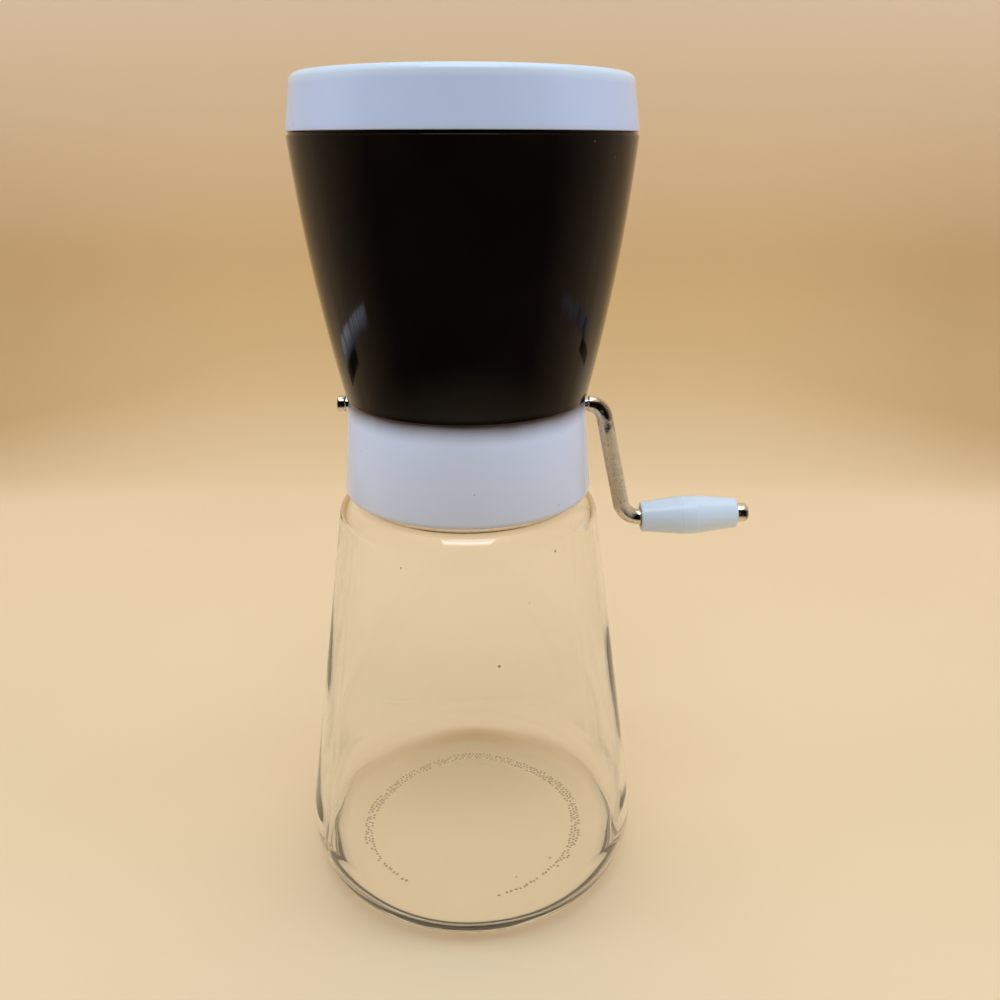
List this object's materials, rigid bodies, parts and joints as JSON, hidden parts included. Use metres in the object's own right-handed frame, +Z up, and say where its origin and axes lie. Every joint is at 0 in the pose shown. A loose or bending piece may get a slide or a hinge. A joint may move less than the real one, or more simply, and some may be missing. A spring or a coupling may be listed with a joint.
{
  "type": "nut chopper",
  "caption": "Hand-cranked nut chopper: conical glass jar, white screw collar with bladed shaft and steel combs, dark conical hopper, white push-on lid and bent crank with a grip.",
  "frame": {"origin": "on the jar's axis, in the plane of the ring that the jar stands on", "axes": "+Z up along the jar's axis, +X along the crank shaft towards the grip, -Y towards the viewer in the picture"},
  "size_m": [0.1157, 0.0894, 0.2014],
  "materials": {
    "glass": "clear pressed glass with a faint green tint",
    "liner": "soft white liner",
    "white_plastic": "glossy, slightly milky white moulding",
    "dark_plastic": "glossy black-brown moulding with fine scratches",
    "plated_steel": "nickel-plated rod, slightly tarnished and pitted",
    "grip_plastic": "white moulded sleeve",
    "blade_steel": "tinned sheet steel",
    "spacer_steel": "plain steel tube",
    "screw_steel": "zinc-plated steel"
  },
  "bodies": {
    "jar": {"jar": "glass"},
    "seal": {"jar_seal": "liner"},
    "head": {"collar": "white_plastic", "hopper": "dark_plastic", "comb_coarse": "blade_steel", "comb_fine": "blade_steel", "comb_screws": "screw_steel"},
    "lid": {"lid": "white_plastic"},
    "crank": {"crank_rod": "plated_steel", "blade_1": "blade_steel", "blade_2": "blade_steel", "blade_3": "blade_steel", "blade_4": "blade_steel", "blade_5": "blade_steel", "blade_6": "blade_steel", "blade_7": "blade_steel", "spacer_1": "spacer_steel", "spacer_2": "spacer_steel", "spacer_3": "spacer_steel", "spacer_4": "spacer_steel", "spacer_5": "spacer_steel", "spacer_6": "spacer_steel", "spacer_7": "spacer_steel", "spacer_8": "spacer_steel"},
    "grip": {"crank_grip": "grip_plastic"}
  },
  "joints": [
    {"name": "head_rise", "type": "slide", "parent": "jar", "child": "seal", "axis": [0, 0, 1], "range_m": [0, 0.0127]},
    {"name": "head_unscrew", "type": "hinge", "parent": "seal", "child": "head", "pos_m": [0, 0, 0.1122], "axis": [0, 0, 1], "range_deg": [0, 1080]},
    {"name": "lid_lift", "type": "slide", "parent": "head", "child": "lid", "axis": [0, 0, 1], "range_m": [0, 0.04]},
    {"name": "crank_turn", "type": "hinge", "parent": "head", "child": "crank", "pos_m": [0, 0, 0.1287], "axis": [1, 0, 0], "continuous": true},
    {"name": "grip_spin", "type": "hinge", "parent": "crank", "child": "grip", "pos_m": [0.03943, 0, 0.09885], "axis": [0.999, 0, 0.0454], "continuous": true}
  ],
  "couplings": [
    {"joint": "head_rise", "follows": "head_unscrew", "m_per_rad": 0.00066845}
  ]
}
